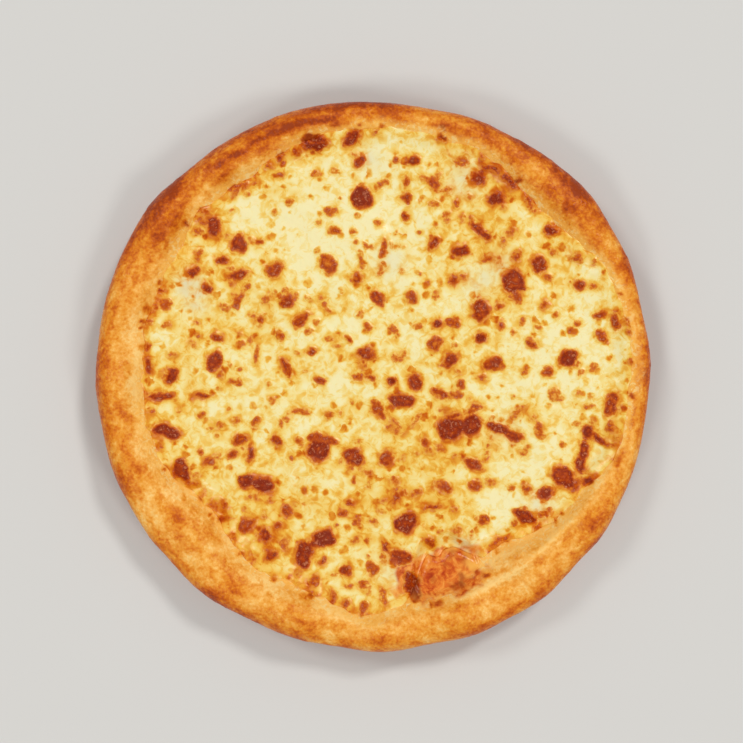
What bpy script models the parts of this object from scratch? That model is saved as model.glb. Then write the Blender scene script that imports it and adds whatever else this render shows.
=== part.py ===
"""Deep cheese pizza: a bread crust with an uneven raised rim, a thin layer of tomato sauce, and
melted cheese with browned blisters.

Sizes are in millimetres, and the meshes are made in metres. +Z is up, the origin is the centre
of the flat underside, and -Y is the foot of the picture seen from above. A bearing is an angle
in degrees round the pizza, counted anticlockwise from +X.
"""

import math
import random

import bpy
import numpy as np
from mathutils import Vector
from mathutils.geometry import delaunay_2d_cdt

MM = 0.001
GAP = 0.3
SLOPE_GAP = 0.4

# Outline from above, and where cheese and sauce end: (bearing, outwards mm, spread in degrees)
STATIONS = 120
RIM_RADIUS = 125.3
RIM_BULGES = ((38, 2.6, 18), (148, 2.0, 14), (-50, 1.3, 20), (83, -1.6, 16), (-110, -0.9, 18))
TOPPING_RADIUS = 104.5
TOPPING_BULGES = (
    (5, 12.0, 26), (24, 3.5, 10), (80, 6.5, 28), (63, 2.5, 8), (102, 3.0, 12), (137, 2.8, 10),
    (-140, -9.5, 13), (-112, -3.0, 10), (-93, 4.5, 5), (-54, -9.0, 9), (-18, 4.0, 9),
)
BAY_BEARING = -70.0
BAY_SPREAD = 9.0
BAY_DEPTH = 19.0

# Crust in section, from the flat underside up
FOOT_ROUND = 6.0
SIDE_DRAFT = 3.0
WIDEST_HEIGHT = 17.0
BED_HEIGHT = 13.0
CREST_HEIGHT_NARROW = 23.4
CREST_HEIGHT_WIDE = 26.0
RIM_NARROW = 8.0
RIM_WIDE = 20.0
CREST_INSET = 3.5
CREST_INSET_SHARE = 0.33
SLOPE_REACH = 16.0
SLOPE_REACH_SHARE = 0.2
LUMP_HEIGHT = 0.7
LUMP_SPACING = 30.0
INNER_RIDGE = ((-48, 1.6, 24),)

# Sauce and cheese
SAUCE_THICKNESS = 1.3
SAUCE_MINIMUM = 0.2
SAUCE_TUCK = 1.5
SAUCE_SWELL = 3.0
SWELL_REACH = 4.0
CHEESE_LEVEL = 20.2
CHEESE_WAVE = 0.45
CHEESE_WAVE_SPACING = 34.0
CHEESE_MINIMUM = 0.9
EDGE_REACH = 9.0
BAY_LIP = 2.2
DOME_SHARE = 0.28
DOME_LIMIT = 2.0
GRID_SPACING = 8.0
GRID_CLEARANCE = 3.4
POINT_CLEARANCE = 1.5
EDGE_BAND = 2.6

# The largest blisters: place, length, width in mm, and turn in degrees
BLISTERS = (
    # upper left
    (-72.5, 67, 11, 6.5, 108), (-60.5, 59.5, 9, 7, 90), (-81, 47, 6.5, 5.5, 0),
    (-61, 45.5, 11, 4, 20), (-45, 48, 8, 7, 0),
    # top
    (-26.5, 105, 11.5, 8, -10), (-10, 106.5, 9, 5.5, 40), (-6.5, 96.5, 7, 5, 60),
    (-5, 80.5, 11.5, 9, -50), (-20.5, 50.5, 10, 7, -50),
    # upper right
    (39.5, 56.5, 7.5, 6.5, 0), (39.5, 96.5, 6.5, 5.5, 0), (55.5, 80, 8, 7, 0),
    (48, 65.5, 12.5, 5, -40), (75, 50, 9, 6, 105), (63, 42.5, 11, 10, 0),
    # left
    (-61, 34, 9, 5, 65), (-91, 0, 8, 6, 45), (-72, 6.5, 9, 6.5, 75), (-95.5, -9.5, 12, 4.5, 0),
    (-93.5, -25, 12, 6.5, -25), (-60.5, -29, 7, 5, 30), (-44, -29.5, 7, 5, -35),
    (-86, -43.5, 11, 5.5, -55),
    # middle
    (-39, 33.5, 7.5, 6.5, 0), (-32.5, 25.5, 10, 4.5, 35), (2, 35, 8, 6.5, -50),
    (28, 14.5, 7, 6, 40), (-3.5, 9.5, 9, 6.5, 0), (34.5, 7, 7.5, 6.5, 60),
    (-39.5, 3, 10.5, 4, -70), (19, -3, 8, 6, 100), (13, -11.5, 12, 6.5, -5),
    (30, -8.5, 9, 4.5, -35), (2, -15, 10, 4.5, -65), (34, -24.5, 12.5, 10, 0),
    (44, -23, 9, 10, 0), (-23, -29, 14, 6, -10), (-25, -34, 10, 9, 0), (-9.5, -36.5, 9.5, 9, 0),
    (5.5, -37.5, 7.5, 6, 20), (45, -40, 9, 4.5, -30),
    # right
    (48.5, 29, 10, 7.5, 95), (54, 5.5, 8.5, 5.5, 0), (88, 8, 10, 8, 15), (109, 24, 9, 4, 100),
    (107.5, -13, 11.5, 6, 75), (96.5, -25.5, 6, 6, 0), (94.5, -37, 15, 5.5, 80),
    (56, -24, 11, 5.5, -15), (63, -27, 10, 4.5, -20),
    # lower left
    (-57.5, -47.5, 8, 6, 0), (-49.5, -49.5, 12, 6.5, -15), (-57.5, -67.5, 9, 6, 25),
    (-48.5, -72.5, 6.5, 6, 0), (-47, -81, 6.5, 6, 0), (-31.5, -81, 12.5, 8, 75),
    (-22, -73.5, 9, 9, 0), (-13, -88, 7, 5.5, -10),
    # bottom
    (31.5, -50.5, 8, 4.5, -35), (14.5, -66.5, 11.5, 9, 20), (12.5, -82, 10, 6, -10),
    (-0.5, -87.5, 6.5, 6, 100), (17.5, -95.5, 14, 7.5, 100), (78, -53, 8, 6, 20),
    (85.5, -46, 12.5, 9, -40), (97, -47, 6, 5, 0), (68, -64, 12.5, 6, -20),
)
SMALL_BLISTERS = 46
SMALL_BLISTER_SIZE = (3.5, 5.5)
SMALL_BLISTER_CLEARANCE = 10.0
SMALL_BLISTER_SEED = 12

# Colour, roughness
CRUST_FINISH = ("E39A48", 0.55)
SAUCE_FINISH = ("B8451A", 0.3)
CHEESE_FINISH = ("F4E09A", 0.4)

BEARINGS = np.arange(STATIONS) * 360.0 / STATIONS


def bulges(bearings, table):
    """Sum of bell curves round the pizza, one for each (bearing, height, spread)."""
    total = np.zeros_like(bearings)
    for bearing, height, spread in table:
        away = (bearings - bearing + 180.0) % 360.0 - 180.0
        total += height * np.exp(-((away / spread) ** 2))
    return total


def smooth_step(value):
    """0 below 0, 1 above 1, and an even S between them."""
    value = np.clip(value, 0.0, 1.0)
    return value * value * (3.0 - 2.0 * value)


def ripple(x, y, spacing, seed, waves=7):
    """Uneven ground of unit depth: straight cosine waves of about one spacing, seeded."""
    draw = random.Random(seed)
    total = np.zeros_like(x)
    for _ in range(waves):
        turn = draw.uniform(0.0, math.tau)
        length = spacing * draw.uniform(0.75, 1.35)
        along = x * math.cos(turn) + y * math.sin(turn)
        total += np.cos(math.tau * along / length + draw.uniform(0.0, math.tau))
    return total / math.sqrt(waves / 2.0)


def on_circle(radii):
    """The x and y of one ring, from its radius at each station."""
    angles = np.radians(BEARINGS)
    return radii * np.cos(angles), radii * np.sin(angles)


def bay_share():
    """How far each station lies in the bay where the sauce shows: 1 inside it, 0 outside."""
    away = (BEARINGS - BAY_BEARING + 180.0) % 360.0 - 180.0
    return np.exp(-((away / BAY_SPREAD) ** 4))


RIM = RIM_RADIUS + bulges(BEARINGS, RIM_BULGES)
TOPPING = TOPPING_RADIUS + bulges(BEARINGS, TOPPING_BULGES)
CHEESE_END = TOPPING - BAY_DEPTH * bay_share()
RIM_WIDTH = RIM - TOPPING
SLOPE_START = TOPPING - (SLOPE_REACH - SLOPE_REACH_SHARE * RIM_WIDTH)
SAUCE_END = SLOPE_START + SAUCE_TUCK + (TOPPING - SLOPE_START - SAUCE_TUCK) * bay_share() ** 2
CREST = RIM - (CREST_INSET + CREST_INSET_SHARE * RIM_WIDTH)
CREST_HEIGHT = CREST_HEIGHT_NARROW + (CREST_HEIGHT_WIDE - CREST_HEIGHT_NARROW) * smooth_step(
    (RIM_WIDTH - RIM_NARROW) / (RIM_WIDE - RIM_NARROW)
)
SAUCE_TOP = BED_HEIGHT + GAP + SAUCE_THICKNESS


def lumps(radii):
    """Baked unevenness of the crust's outer skin, in mm, along one ring."""
    return LUMP_HEIGHT * ripple(*on_circle(radii), LUMP_SPACING, seed=3)


def crust_upper_rings():
    """Rings from the bed up the inner slope to the crest, as (radii, heights) pairs.

    The bed is level, and the slope is half a cosine wave between the bed and the crest. One ring
    runs along the edge of the toppings.
    """
    rings = [(0.5 * SLOPE_START, np.full(STATIONS, BED_HEIGHT))]
    reach = TOPPING - SLOPE_START
    rise = CREST - TOPPING
    radii_up = [SLOPE_START + share * reach for share in (0.0, 0.375, 0.7, 1.0)]
    radii_up += [TOPPING + share * rise for share in (0.35, 0.7, 1.0)]
    for radii in radii_up:
        share = (radii - SLOPE_START) / (CREST - SLOPE_START)
        heights = BED_HEIGHT + (CREST_HEIGHT - BED_HEIGHT) * (0.5 - 0.5 * np.cos(math.pi * share))
        bare = smooth_step((radii - TOPPING) / (CREST - TOPPING))
        ridge = bulges(BEARINGS, INNER_RIDGE) * 4.0 * bare * (1.0 - bare)
        rings.append((radii, heights + bare * lumps(radii) + ridge))
    return rings


def crust_outer_rings():
    """Rings from the crest over the shoulder, down the drafted side and round the foot.

    The shoulder and the foot are quarter ellipses, and the side between them leans outwards.
    """
    rings = []
    for angle in np.radians((25, 48, 70, 90)):
        radii = CREST + (RIM - CREST) * math.sin(angle)
        height = CREST_HEIGHT - (CREST_HEIGHT - WIDEST_HEIGHT) * (1.0 - math.cos(angle))
        rings.append((radii + 0.5 * lumps(radii), height + lumps(radii) * math.cos(angle)))
    foot_radii = RIM - SIDE_DRAFT
    middle = 0.5 * (WIDEST_HEIGHT + FOOT_ROUND)
    bow = RIM - 0.4 * SIDE_DRAFT
    rings.append((bow + 0.5 * lumps(bow), np.full(STATIONS, middle)))
    for angle in np.radians((0, 30, 60, 90)):
        radii = foot_radii - FOOT_ROUND * (1.0 - math.cos(angle))
        rings.append((radii, np.full(STATIONS, FOOT_ROUND * (1.0 - math.sin(angle)))))
    rings.append((0.5 * foot_radii, np.zeros(STATIONS)))
    return rings


def crust_height(radii):
    """Height of the crust's facets along each station's line, at the given radii."""
    ring_radii, ring_heights = (np.array(values) for values in zip(*crust_upper_rings()))
    pairs = zip(radii, ring_radii.T, ring_heights.T)
    return np.array([np.interp(radius, across, up) for radius, across, up in pairs])


def ring_points(rings):
    """Vertex positions of rings, one after another."""
    points = []
    for radii, heights in rings:
        x, y = on_circle(radii)
        points.append(np.column_stack((x, y, heights)))
    return np.concatenate(points)


def ring_triangles(count, first=0):
    """Triangles between neighbouring rings, facing left of the way that the rings go."""
    station = np.arange(STATIONS)
    following = (station + 1) % STATIONS
    triangles = []
    for ring in range(count - 1):
        here = first + ring * STATIONS
        there = here + STATIONS
        triangles.append(np.column_stack((here + station, there + station, there + following)))
        triangles.append(np.column_stack((here + station, there + following, here + following)))
    return np.concatenate(triangles)


def fan(centre, ring_start, upward):
    """Triangles from a centre vertex to the ring round it."""
    station = ring_start + np.arange(STATIONS)
    following = ring_start + (np.arange(STATIONS) + 1) % STATIONS
    hub = np.full(STATIONS, centre)
    return np.column_stack((hub, station, following) if upward else (hub, following, station))


def closed_rings(rings, top_height, bottom_height):
    """A closed body from rings that start round its top centre and end round its bottom centre."""
    points = ring_points(rings)
    centres = np.array([(0.0, 0.0, top_height), (0.0, 0.0, bottom_height)])
    top = len(points)
    last_ring = top - STATIONS
    triangles = np.concatenate(
        (fan(top, 0, True), ring_triangles(len(rings)), fan(top + 1, last_ring, False))
    )
    return np.concatenate((points, centres)), triangles


def blister_list():
    """The large blisters, and seeded small ones between them."""
    draw = random.Random(SMALL_BLISTER_SEED)
    blisters = list(BLISTERS)
    reach = TOPPING_RADIUS - EDGE_REACH
    while len(blisters) < len(BLISTERS) + SMALL_BLISTERS:
        radius = reach * math.sqrt(draw.random())
        angle = draw.uniform(0.0, math.tau)
        x, y = radius * math.cos(angle), radius * math.sin(angle)
        if all(math.hypot(x - b[0], y - b[1]) > SMALL_BLISTER_CLEARANCE for b in blisters):
            size = draw.uniform(*SMALL_BLISTER_SIZE)
            blisters.append((x, y, size, 0.8 * size, draw.uniform(0.0, 180.0)))
    return blisters


def cheese_end(x, y):
    """Radius of the cheese's edge on the bearing of each point."""
    return np.interp(np.degrees(np.arctan2(y, x)), BEARINGS, CHEESE_END, period=360.0)


def cheese_under(radii):
    """Underside of the cheese: level over the sauce, then up the crust's slope."""
    return np.maximum(crust_height(radii) + SLOPE_GAP, SAUCE_TOP + GAP)


def cheese_edge_height():
    """Top of the cheese's thin edge: a little above the slope, thicker along the bay."""
    lip = CHEESE_MINIMUM + (BAY_LIP - CHEESE_MINIMUM) * bay_share()
    return cheese_under(CHEESE_END) + lip


def cheese_top(x, y, blisters):
    """Height of the melted surface.

    It is a level sheet with slow waves, led into the height of its edge over the last few
    millimetres, and every blister adds a low dome on an ellipse.
    """
    edge_height = np.interp(
        np.degrees(np.arctan2(y, x)), BEARINGS, cheese_edge_height(), period=360.0
    )
    inward = cheese_end(x, y) - np.hypot(x, y)
    sheet = CHEESE_LEVEL + CHEESE_WAVE * ripple(x, y, CHEESE_WAVE_SPACING, seed=5)
    top = edge_height + (sheet - edge_height) * smooth_step(inward / EDGE_REACH)
    for centre_x, centre_y, length, width, turn in blisters:
        cosine, sine = math.cos(math.radians(turn)), math.sin(math.radians(turn))
        along = ((x - centre_x) * cosine + (y - centre_y) * sine) / (0.5 * length)
        across = ((y - centre_y) * cosine - (x - centre_x) * sine) / (0.5 * width)
        fall = np.clip(1.0 - along * along - across * across, 0.0, 1.0)
        top += min(DOME_SHARE * width, DOME_LIMIT) * fall
    return top


def ellipse_points(blister, share, count):
    """Points on an ellipse that is a share of the blister's outline."""
    centre_x, centre_y, length, width, turn = blister
    angles = np.arange(count) * math.tau / count
    along = 0.5 * share * length * np.cos(angles)
    across = 0.5 * share * width * np.sin(angles)
    cosine, sine = math.cos(math.radians(turn)), math.sin(math.radians(turn))
    x = centre_x + along * cosine - across * sine
    y = centre_y + along * sine + across * cosine
    return np.column_stack((x, y))


def hexagon_grid(spacing, reach):
    """Points of an even triangular grid over a square."""
    row_step = spacing * math.sqrt(0.75)
    rows = np.arange(-reach, reach, row_step)
    columns = np.arange(-reach, reach, spacing)
    x, y = np.meshgrid(columns, rows)
    x = x + 0.5 * spacing * (np.arange(len(rows)) % 2)[:, None]
    return np.column_stack((x.ravel(), y.ravel()))


def add_spaced(kept, candidates, clearance):
    """Adds each candidate that lies inside the cheese and clear of the points kept so far."""
    inside = cheese_end(*candidates.T) - np.hypot(*candidates.T) > EDGE_BAND + clearance
    for candidate in candidates[inside]:
        if np.min(np.hypot(*(np.array(kept) - candidate).T)) > clearance:
            kept.append(tuple(candidate))


def cheese_top_points(blisters):
    """Places of the top's vertices: its edge, a ring inside it, the blisters, then a grid."""
    edge = np.column_stack(on_circle(CHEESE_END))
    band = np.column_stack(on_circle(CHEESE_END - EDGE_BAND))
    kept = [tuple(point) for point in np.concatenate((edge, band))]
    for blister in blisters:
        add_spaced(kept, np.array([blister[:2]]), POINT_CLEARANCE)
        if blister[3] > SMALL_BLISTER_SIZE[1]:
            add_spaced(kept, ellipse_points(blister, 0.6, 6), POINT_CLEARANCE)
        add_spaced(kept, ellipse_points(blister, 1.05, 8), POINT_CLEARANCE)
    add_spaced(kept, hexagon_grid(GRID_SPACING, RIM_RADIUS), GRID_CLEARANCE)
    return np.array(kept)


def crust_body():
    """The bread: a level bed in an uneven raised rim, on a flat underside."""
    rings = crust_upper_rings() + crust_outer_rings()
    return closed_rings(rings, BED_HEIGHT, 0.0)


def sauce_body():
    """The sauce: a thin sheet under the cheese that swells up where the cheese leaves a bay."""
    start = np.minimum(CHEESE_END + 0.5, SAUCE_END - 0.8 * SAUCE_TUCK)
    lowest = crust_height(SAUCE_END) + SLOPE_GAP
    neighbours = [np.roll(CHEESE_END, step) for step in (-1, 0, 1)]
    bare_from = np.max(neighbours, axis=0) + 0.5
    rings = [(0.6 * start, np.full(STATIONS, SAUCE_TOP)), (start, np.full(STATIONS, SAUCE_TOP))]
    for share in (0.3, 0.65, 1.0):
        radii = start + share * (SAUCE_END - start)
        bared = smooth_step((radii - bare_from) / SWELL_REACH)
        swell = SAUCE_SWELL * bared * (1.0 + 0.15 * ripple(*on_circle(radii), 9.0, seed=8))
        depth = SAUCE_MINIMUM + (CHEESE_MINIMUM - SAUCE_MINIMUM) * bared
        heights = np.maximum(SAUCE_TOP + swell, crust_height(radii) + SLOPE_GAP + depth)
        if share == 1.0:
            heights = np.maximum(SAUCE_TOP, lowest + SAUCE_MINIMUM)
        rings.append((radii, heights))
    tucked = SAUCE_END - SLOPE_START
    for share in (1.0, 0.7, 0.375):
        radii = SLOPE_START + share * tucked
        rings.append((radii, crust_height(radii) + SLOPE_GAP))
    rings.append((SLOPE_START - GAP, np.full(STATIONS, BED_HEIGHT + GAP)))
    return closed_rings(rings, SAUCE_TOP, BED_HEIGHT + GAP)


def cheese_body():
    """The cheese: a triangulated blistered top, a thin edge, and an underside on the sauce."""
    blisters = blister_list()
    flat_points = cheese_top_points(blisters)
    outline = [list(range(STATIONS))]
    result = delaunay_2d_cdt([Vector(point) for point in flat_points], [], outline, 1, 1e-6)
    top_xy = np.array([tuple(point) for point in result[0]])
    top = np.column_stack((top_xy, cheese_top(*top_xy.T, blisters)))
    top[:STATIONS, 2] = cheese_edge_height()

    cheese_start = CHEESE_END - (TOPPING - SLOPE_START)
    reach = CHEESE_END - cheese_start
    radii_in = [cheese_start + share * reach for share in (1.0, 0.7, 0.375, 0.0)]
    radii_in.append(0.5 * cheese_start)
    under = ring_points([(radii, cheese_under(radii)) for radii in radii_in])
    centre = np.array([(0.0, 0.0, SAUCE_TOP + GAP)])
    points = np.concatenate((top, under, centre))

    first = len(top)
    last_ring = first + (len(radii_in) - 1) * STATIONS
    station = np.arange(STATIONS)
    following = (station + 1) % STATIONS
    wall = np.concatenate((
        np.column_stack((station, first + station, first + following)),
        np.column_stack((station, first + following, following)),
    ))
    triangles = np.concatenate((
        np.array(result[2]),
        wall,
        ring_triangles(len(radii_in), first),
        fan(len(points) - 1, last_ring, False),
    ))
    return points, triangles


def finish(name, hex_colour, roughness):
    """A plain food finish in one colour."""
    material = bpy.data.materials.new(name)
    material.use_nodes = True
    shader = material.node_tree.nodes["Principled BSDF"]
    srgb = np.array([int(hex_colour[i:i + 2], 16) / 255.0 for i in (0, 2, 4)])
    linear = np.where(srgb <= 0.04045, srgb / 12.92, ((srgb + 0.055) / 1.055) ** 2.4)
    shader.inputs["Base Color"].default_value = (*linear, 1.0)
    shader.inputs["Roughness"].default_value = roughness
    shader.inputs["Metallic"].default_value = 0.0
    return material


def add_body(name, body, material):
    """Puts one closed body into the scene as a smooth-shaded object."""
    points, triangles = body
    mesh = bpy.data.meshes.new(name)
    mesh.from_pydata((points * MM).tolist(), [], triangles.tolist())
    mesh.materials.append(material)
    mesh.shade_smooth()
    mesh.set_sharp_from_angle(angle=math.radians(60))
    bpy.context.scene.collection.objects.link(bpy.data.objects.new(name, mesh))


def main():
    for old in list(bpy.data.objects):
        bpy.data.objects.remove(old)
    add_body("crust", crust_body(), finish("baked_crust", *CRUST_FINISH))
    add_body("sauce", sauce_body(), finish("tomato_sauce", *SAUCE_FINISH))
    add_body("cheese", cheese_body(), finish("melted_cheese", *CHEESE_FINISH))


main()
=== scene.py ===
"""Finishes the cheese pizza: baked bread crust, wet tomato sauce and melted, blistered cheese.

Sizes are in millimetres, and every mesh is made in metres in the frame of the solids: +Z up,
origin at the centre of the flat underside. A bearing is an angle in degrees round the pizza,
anticlockwise from +X.
"""

import math
import random

import bpy
import numpy as np
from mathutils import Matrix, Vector


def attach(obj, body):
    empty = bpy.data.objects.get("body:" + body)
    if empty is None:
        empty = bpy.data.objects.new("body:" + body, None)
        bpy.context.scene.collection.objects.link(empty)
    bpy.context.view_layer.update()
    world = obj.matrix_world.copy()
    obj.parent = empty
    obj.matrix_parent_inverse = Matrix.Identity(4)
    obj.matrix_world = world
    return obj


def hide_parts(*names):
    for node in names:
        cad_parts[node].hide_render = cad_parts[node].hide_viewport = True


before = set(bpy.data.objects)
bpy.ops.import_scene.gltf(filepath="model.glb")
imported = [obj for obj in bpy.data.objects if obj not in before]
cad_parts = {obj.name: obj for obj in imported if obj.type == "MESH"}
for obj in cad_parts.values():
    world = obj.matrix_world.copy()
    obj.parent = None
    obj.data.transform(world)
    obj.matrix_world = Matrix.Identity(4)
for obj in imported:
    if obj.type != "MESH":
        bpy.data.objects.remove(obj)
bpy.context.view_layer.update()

MM = 0.001

# Outline from above, and where the toppings end: (bearing, outwards mm, spread in degrees)
RIM_RADIUS = 125.3
RIM_BULGES = ((38, 2.6, 18), (148, 2.0, 14), (-50, 1.3, 20), (83, -1.6, 16), (-110, -0.9, 18))
TOPPING_RADIUS = 104.5
TOPPING_BULGES = (
    (5, 12.0, 26), (24, 3.5, 10), (80, 6.5, 28), (63, 2.5, 8), (102, 3.0, 12), (137, 2.8, 10),
    (-140, -9.5, 13), (-112, -3.0, 10), (-93, 4.5, 5), (-54, -9.0, 9), (-18, 4.0, 9),
)
BAY_BEARING = -70.0
BAY_SPREAD = 9.0
BAY_DEPTH = 19.0

# Crust in section, from the flat underside up
FOOT_ROUND = 6.0
SIDE_DRAFT = 3.0
WIDEST_HEIGHT = 17.0
BED_HEIGHT = 13.0
CREST_HEIGHT_NARROW = 23.4
CREST_HEIGHT_WIDE = 26.0
RIM_NARROW = 8.0
RIM_WIDE = 20.0
CREST_INSET = 3.5
CREST_INSET_SHARE = 0.33
SLOPE_REACH = 16.0
SLOPE_REACH_SHARE = 0.2
LUMP_HEIGHT = 0.7
LUMP_SPACING = 30.0
INNER_RIDGE = ((-48, 1.6, 24),)

# Sauce and cheese in section
SAUCE_TOP = 14.6
SAUCE_SWELL = 2.9
SWELL_REACH = 4.5
SAUCE_PAST_BED = 1.5
SAUCE_CLIMB = 0.55
CHEESE_LEVEL = 20.2
CHEESE_WAVE = 0.45
CHEESE_WAVE_SPACING = 34.0
CHEESE_LIP = 0.15
BAY_LIP = 1.6
EDGE_REACH = 9.0
FILM = 0.1

# Relief of the baked skin: (height mm, cells round the rim, seed)
SWELLINGS_WRINKLES_GRAIN = ((0.3, 66, 41), (0.14, 198, 42), (0.08, 396, 43))
BUBBLES = (0.35, 132, 44)

# Fineness of the meshes
CRUST_STATIONS = 720
BED_RINGS = 7
SLOPE_RINGS = 34
SHOULDER_RINGS = 23
SIDE_RINGS = 16
FOOT_RINGS = 9
UNDER_RINGS = 19
SAUCE_STATIONS = 540
SAUCE_RINGS = 56
CHEESE_CELLS = 276
INNERMOST = 0.04

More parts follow.
